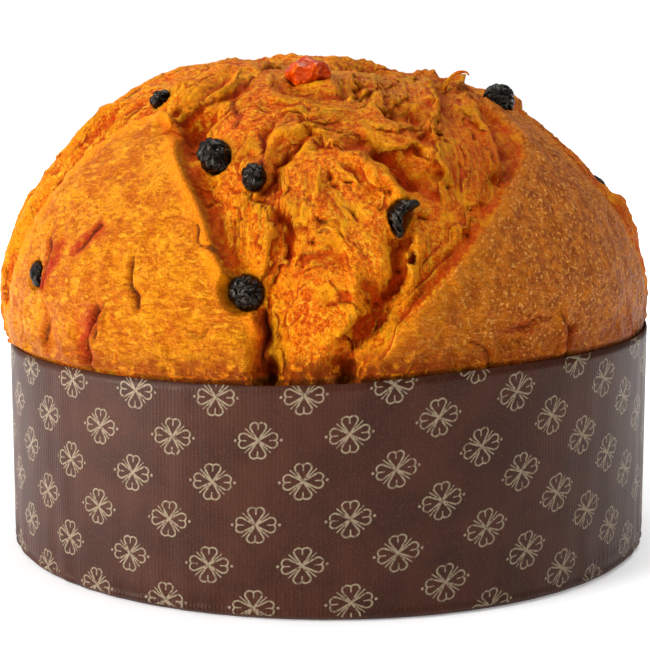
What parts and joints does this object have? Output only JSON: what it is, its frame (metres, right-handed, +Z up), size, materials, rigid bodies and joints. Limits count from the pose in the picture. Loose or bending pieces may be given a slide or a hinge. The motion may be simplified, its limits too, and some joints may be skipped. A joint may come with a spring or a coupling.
{
  "type": "panettone in a paper case",
  "caption": "Tall domed sweet loaf, torn open along a crosswise cut, with raisins and candied peel, in a round printed paper baking case.",
  "frame": {"origin": "centre of the paper case's flat base, on the surface that it stands on", "axes": "+Z up along the case's axis, -Y towards the shown side, +X to its right"},
  "size_m": [0.2125, 0.2103, 0.158],
  "materials": {
    "case_paper": "satin, printed",
    "crust": "baked crust, satin",
    "raisin": "wrinkled, half gloss",
    "candied_peel": "sticky gloss"
  },
  "bodies": {
    "root": {"paper_case": "case_paper", "loaf": "crust", "raisin_1": "raisin", "raisin_2": "raisin", "raisin_3": "raisin", "raisin_4": "raisin", "raisin_5": "raisin", "raisin_6": "raisin", "raisin_7": "raisin", "raisin_8": "raisin", "raisin_9": "raisin", "raisin_10": "raisin", "raisin_11": "raisin", "peel_1": "candied_peel", "peel_2": "candied_peel"}
  },
  "joints": []
}
